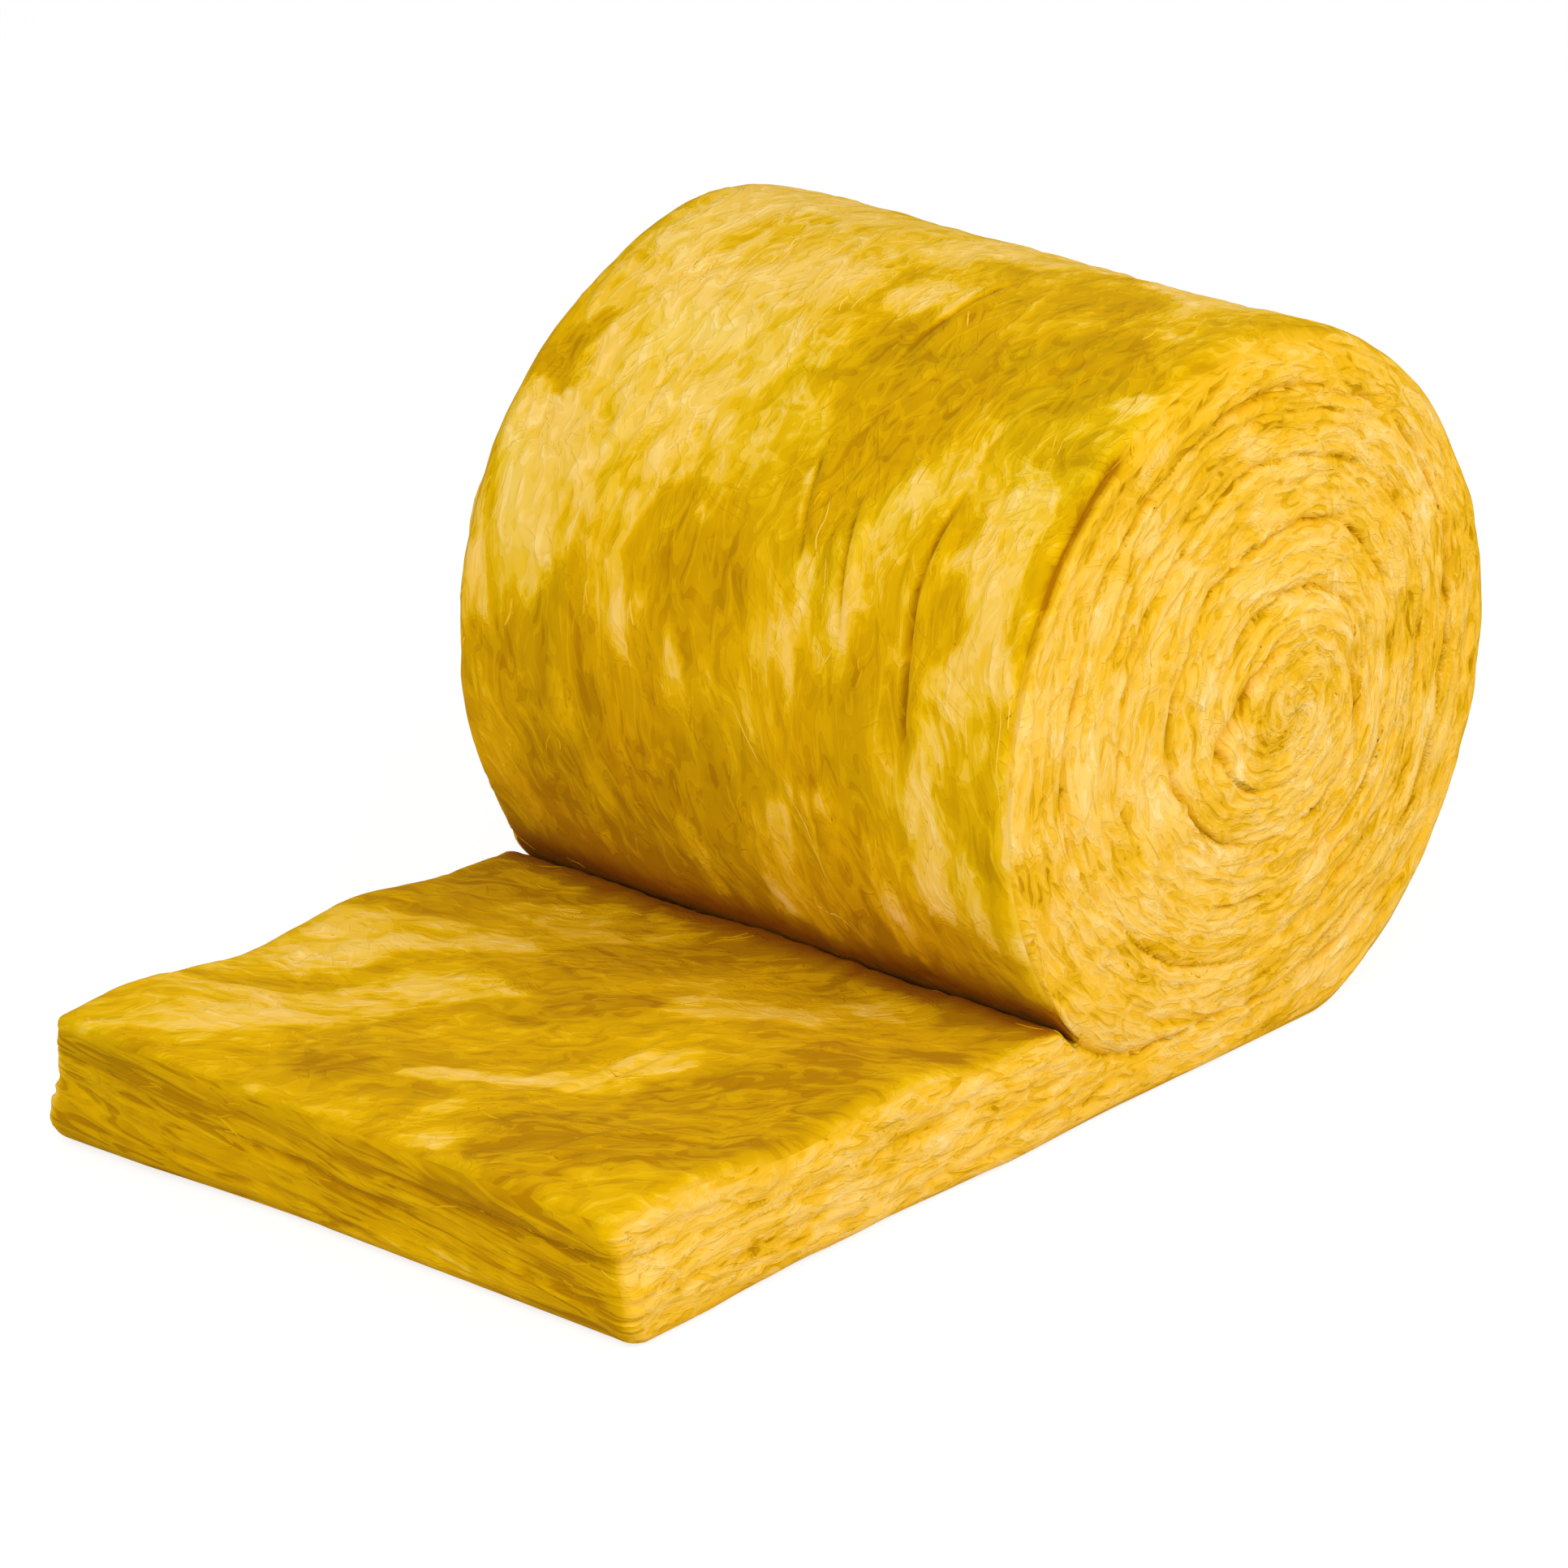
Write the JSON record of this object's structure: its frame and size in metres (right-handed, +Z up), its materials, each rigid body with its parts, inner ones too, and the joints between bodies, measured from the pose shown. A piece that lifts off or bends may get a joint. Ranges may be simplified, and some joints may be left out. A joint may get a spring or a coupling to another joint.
{
  "type": "insulation roll",
  "caption": "Unfaced glass-wool blanket wound into a roll that lies on its side, its outer end left flat on the floor as a thick tail, spiral seam on both ends.",
  "frame": {"origin": "on the floor, under the middle of the whole length and width of roll and tail", "axes": "+Z up, X along the blanket with the flat tail towards -X, Y along the roll's axis"},
  "size_m": [1.0869, 0.6, 0.614],
  "materials": {
    "glass_wool": "matte, fibrous yellow glass wool, with no facing"
  },
  "bodies": {
    "root": {"wool_blanket": "glass_wool"}
  },
  "joints": []
}
